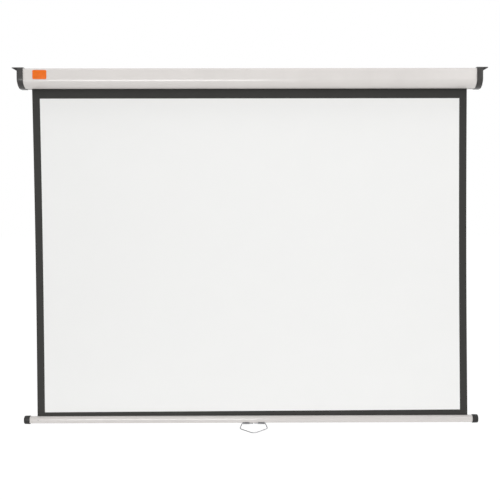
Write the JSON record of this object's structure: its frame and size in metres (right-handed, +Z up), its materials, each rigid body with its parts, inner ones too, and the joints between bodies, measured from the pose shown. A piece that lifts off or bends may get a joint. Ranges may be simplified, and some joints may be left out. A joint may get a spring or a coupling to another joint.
{
  "type": "pull-down projector screen",
  "caption": "Wall-hung pull-down projection screen on a sprung self-locking roller, with a slim case, end caps with ears, a black-bordered 4:3 sheet, a weight bar and a wire pull handle.",
  "frame": {"origin": "centre of the case's flat back face, which lies on the wall", "axes": "+X along the case, to the right of someone who watches the screen; +Y into the wall; +Z up. The white face looks along -Y."},
  "size_m": [1.678, 0.0738, 1.3117],
  "materials": {
    "white_coat": "off-white satin powder coat",
    "black_plastic": "charcoal satin moulded plastic",
    "image_white": "matt white coated cloth",
    "black_fabric": "matt black coated cloth",
    "orange_label": "plain glossy label",
    "steel": "bright zinc-plated steel",
    "spring_steel": "dark phosphated steel",
    "plated_wire": "dark nickel-plated wire",
    "nylon": "natural moulded nylon"
  },
  "bodies": {
    "housing": {"case_shell": "white_coat", "case_label": "orange_label", "end_cap_left": "black_plastic", "end_cap_right": "black_plastic", "cap_screw_left_1": "steel", "cap_screw_left_2": "steel", "cap_screw_left_3": "steel", "cap_screw_right_1": "steel", "cap_screw_right_2": "steel", "cap_screw_right_3": "steel", "idle_bush": "nylon", "shaft_anchor": "steel", "spring_shaft": "steel", "torsion_spring": "spring_steel", "spring_fixed_cone": "black_plastic", "ratchet_wheel": "steel", "shaft_clip": "spring_steel", "screen_fabric": "black_fabric", "viewing_surface": "image_white"},
    "roller": {"roller_tube": "steel", "idle_plug": "black_plastic", "idle_pin": "steel", "ratchet_head": "black_plastic", "spring_drive_cone": "black_plastic", "roller_wrap": "black_fabric", "pawl_pin_upper": "steel", "pawl_pin_lower": "steel"},
    "upper_pawl": {"pawl_upper": "steel"},
    "lower_pawl": {"pawl_lower": "steel"},
    "weight_bar": {"bottom_bar": "white_coat", "bar_cap_left": "black_plastic", "bar_cap_right": "black_plastic", "bar_pin": "spring_steel", "hem_rod": "steel", "fabric_hem": "black_fabric", "handle_bracket_left": "spring_steel", "handle_bracket_right": "spring_steel", "bracket_rivet_left_front": "spring_steel", "bracket_rivet_left_back": "spring_steel", "bracket_rivet_right_front": "spring_steel", "bracket_rivet_right_back": "spring_steel"},
    "handle": {"pull_handle": "plated_wire"}
  },
  "joints": [
    {"name": "screen_travel", "type": "slide", "parent": "housing", "child": "weight_bar", "axis": [0, 0, 1], "range_m": [0, 1.17], "deforming": ["screen_fabric", "viewing_surface"]},
    {"name": "roller_spin", "type": "hinge", "parent": "housing", "child": "roller", "pos_m": [0, -0.03413, 0], "axis": [1, 0, 0], "range_deg": [0, 3215]},
    {"name": "handle_swing", "type": "hinge", "parent": "weight_bar", "child": "handle", "pos_m": [0.008, -0.01547, -1.23755], "axis": [1, 0, 0], "range_deg": [-95, 95]},
    {"name": "upper_pawl_swing", "type": "hinge", "parent": "roller", "child": "upper_pawl", "pos_m": [0.7856, -0.03413, 0.0115], "axis": [1, 0, 0], "range_deg": [-30, 0]},
    {"name": "lower_pawl_swing", "type": "hinge", "parent": "roller", "child": "lower_pawl", "pos_m": [0.7856, -0.03413, -0.0115], "axis": [1, 0, 0], "range_deg": [0, 30]}
  ],
  "couplings": [
    {"joint": "roller_spin", "follows": "screen_travel", "rad_per_m": 47.9}
  ]
}
